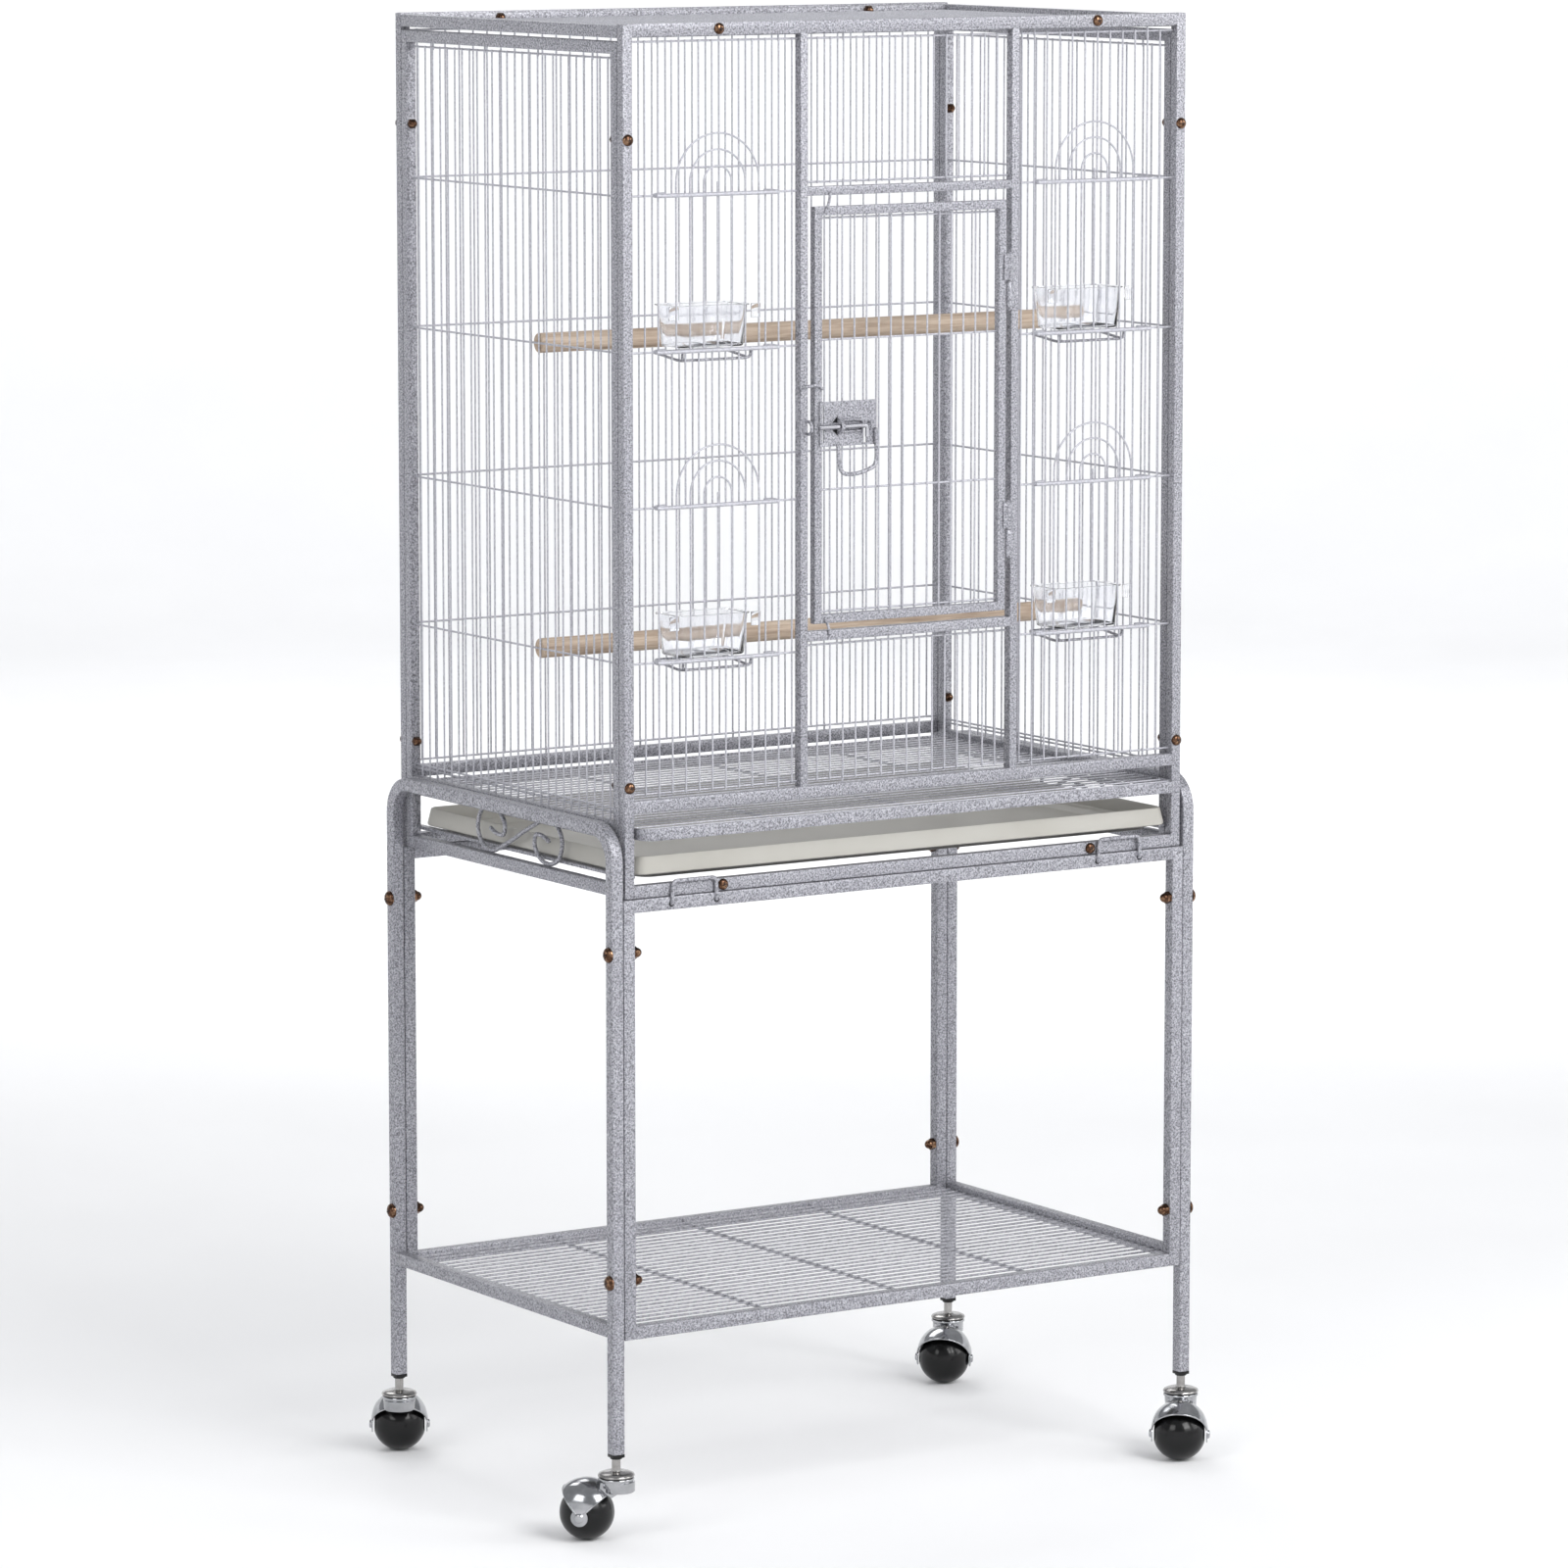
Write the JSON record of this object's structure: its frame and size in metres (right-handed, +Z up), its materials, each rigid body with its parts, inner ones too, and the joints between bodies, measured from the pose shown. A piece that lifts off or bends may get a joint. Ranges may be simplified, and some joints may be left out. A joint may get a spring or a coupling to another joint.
{
  "type": "bird cage on stand",
  "caption": "Tall wire flight cage with hinged front door, lift-up feeder doors, pull-out tray and grate, on a tube stand with a wire shelf and ball casters.",
  "frame": {"origin": "on the floor, below the middle of the cage", "axes": "+Z up; the front of the cage, with its door, faces -Y; +X to the right of someone facing the door's back, that is to the viewer's right in a front view"},
  "size_m": [0.6884, 0.4873, 1.36],
  "materials": {
    "hammered_coat": "silver grey hammered powder coat, satin",
    "chrome_plate": "bright chrome plate",
    "bright_steel": "zinc plated wire",
    "dark_steel": "plated steel",
    "black_plastic": "glossy black moulding",
    "ivory_plastic": "satin ivory sheet",
    "clear_plastic": "clear moulded plastic",
    "plain_wood": "bare sanded wood"
  },
  "bodies": {
    "cage_and_stand": {"front_frame": "hammered_coat", "back_frame": "hammered_coat", "front_mesh_left": "hammered_coat", "front_mesh_right": "hammered_coat", "front_mesh_over_door": "hammered_coat", "front_mesh_under_door": "hammered_coat", "back_mesh": "hammered_coat", "left_side_frame": "hammered_coat", "right_side_frame": "hammered_coat", "left_side_mesh": "hammered_coat", "right_side_mesh": "hammered_coat", "top_frame": "hammered_coat", "top_mesh": "hammered_coat", "latch_catch": "hammered_coat", "hinge_upper": "hammered_coat", "hinge_lower": "hammered_coat", "stand_legs_left": "hammered_coat", "stand_legs_right": "hammered_coat", "stand_front_frame": "hammered_coat", "stand_back_frame": "hammered_coat", "shelf_grid": "hammered_coat", "scroll_left": "hammered_coat", "scroll_right": "hammered_coat", "clip_front_left": "hammered_coat", "clip_front_right": "hammered_coat", "clip_back_left": "hammered_coat", "clip_back_right": "hammered_coat", "perch_upper": "plain_wood", "perch_lower": "plain_wood", "leg_plug_fl": "black_plastic", "caster_stem_fl": "dark_steel", "leg_plug_bl": "black_plastic", "caster_stem_bl": "dark_steel", "leg_plug_fr": "black_plastic", "caster_stem_fr": "dark_steel", "leg_plug_br": "black_plastic", "caster_stem_br": "dark_steel"},
    "door": {"door_frame": "hammered_coat", "door_mesh": "hammered_coat", "latch_plate": "hammered_coat"},
    "door_bolt": {"latch_bolt": "bright_steel"},
    "pull_out_tray": {"tray": "ivory_plastic"},
    "pull_out_grate": {"floor_grate": "hammered_coat"},
    "feeder_door_left_upper": {"feeder_door_left_upper": "hammered_coat"},
    "feeder_cup_left_upper": {"feeder_cup_left_upper": "clear_plastic"},
    "feeder_door_left_lower": {"feeder_door_left_lower": "hammered_coat"},
    "feeder_cup_left_lower": {"feeder_cup_left_lower": "clear_plastic"},
    "feeder_door_right_upper": {"feeder_door_right_upper": "hammered_coat"},
    "feeder_cup_right_upper": {"feeder_cup_right_upper": "clear_plastic"},
    "feeder_door_right_lower": {"feeder_door_right_lower": "hammered_coat"},
    "feeder_cup_right_lower": {"feeder_cup_right_lower": "clear_plastic"},
    "caster_fl": {"caster_hood_fl": "chrome_plate"},
    "wheel_fl": {"caster_wheel_fl": "black_plastic"},
    "caster_bl": {"caster_hood_bl": "chrome_plate"},
    "wheel_bl": {"caster_wheel_bl": "black_plastic"},
    "caster_fr": {"caster_hood_fr": "chrome_plate"},
    "wheel_fr": {"caster_wheel_fr": "black_plastic"},
    "caster_br": {"caster_hood_br": "chrome_plate"},
    "wheel_br": {"caster_wheel_br": "black_plastic"}
  },
  "joints": [
    {"name": "door_swing", "type": "hinge", "parent": "cage_and_stand", "child": "door", "pos_m": [0.10785, -0.2005, 1.0062], "axis": [0, 0, 1], "range_deg": [0, 150]},
    {"name": "door_bolt_slide", "type": "slide", "parent": "door", "child": "door_bolt", "axis": [-1, 0, 0], "range_m": [0, 0.0145]},
    {"name": "tray_slide", "type": "slide", "parent": "cage_and_stand", "child": "pull_out_tray", "axis": [0, -1, 0], "range_m": [0, 0.36]},
    {"name": "grate_slide", "type": "slide", "parent": "cage_and_stand", "child": "pull_out_grate", "axis": [0, -1, 0], "range_m": [0, 0.36]},
    {"name": "feeder_door_left_upper_lift", "type": "slide", "parent": "cage_and_stand", "child": "feeder_door_left_upper", "axis": [0, 0, 1], "range_m": [0, 0.08]},
    {"name": "feeder_cup_left_upper_lift", "type": "slide", "parent": "cage_and_stand", "child": "feeder_cup_left_upper", "axis": [0, 0, 1], "range_m": [0, 0.05]},
    {"name": "feeder_door_left_lower_lift", "type": "slide", "parent": "cage_and_stand", "child": "feeder_door_left_lower", "axis": [0, 0, 1], "range_m": [0, 0.08]},
    {"name": "feeder_cup_left_lower_lift", "type": "slide", "parent": "cage_and_stand", "child": "feeder_cup_left_lower", "axis": [0, 0, 1], "range_m": [0, 0.05]},
    {"name": "feeder_door_right_upper_lift", "type": "slide", "parent": "cage_and_stand", "child": "feeder_door_right_upper", "axis": [0, 0, 1], "range_m": [0, 0.08]},
    {"name": "feeder_cup_right_upper_lift", "type": "slide", "parent": "cage_and_stand", "child": "feeder_cup_right_upper", "axis": [0, 0, 1], "range_m": [0, 0.05]},
    {"name": "feeder_door_right_lower_lift", "type": "slide", "parent": "cage_and_stand", "child": "feeder_door_right_lower", "axis": [0, 0, 1], "range_m": [0, 0.08]},
    {"name": "feeder_cup_right_lower_lift", "type": "slide", "parent": "cage_and_stand", "child": "feeder_cup_right_lower", "axis": [0, 0, 1], "range_m": [0, 0.05]},
    {"name": "caster_fl_swivel", "type": "hinge", "parent": "cage_and_stand", "child": "caster_fl", "pos_m": [-0.314, -0.196, 0.05], "axis": [0, 0, 1], "continuous": true},
    {"name": "wheel_fl_roll", "type": "hinge", "parent": "caster_fl", "child": "wheel_fl", "pos_m": [-0.33276, -0.17589, 0.025], "axis": [0.7314, 0.682, 0], "continuous": true},
    {"name": "caster_bl_swivel", "type": "hinge", "parent": "cage_and_stand", "child": "caster_bl", "pos_m": [-0.314, 0.196, 0.05], "axis": [0, 0, 1], "continuous": true},
    {"name": "wheel_bl_roll", "type": "hinge", "parent": "caster_bl", "child": "wheel_bl", "pos_m": [-0.30025, 0.21982, 0.025], "axis": [0.866, -0.5, 0], "continuous": true},
    {"name": "caster_fr_swivel", "type": "hinge", "parent": "cage_and_stand", "child": "caster_fr", "pos_m": [0.314, -0.196, 0.05], "axis": [0, 0, 1], "continuous": true},
    {"name": "wheel_fr_roll", "type": "hinge", "parent": "caster_fr", "child": "wheel_fr", "pos_m": [0.29707, -0.21767, 0.025], "axis": [-0.788, 0.6157, 0], "continuous": true},
    {"name": "caster_br_swivel", "type": "hinge", "parent": "cage_and_stand", "child": "caster_br", "pos_m": [0.314, 0.196, 0.05], "axis": [0, 0, 1], "continuous": true},
    {"name": "wheel_br_roll", "type": "hinge", "parent": "caster_br", "child": "wheel_br", "pos_m": [0.2956, 0.17556, 0.025], "axis": [-0.7431, 0.6691, 0], "continuous": true}
  ]
}
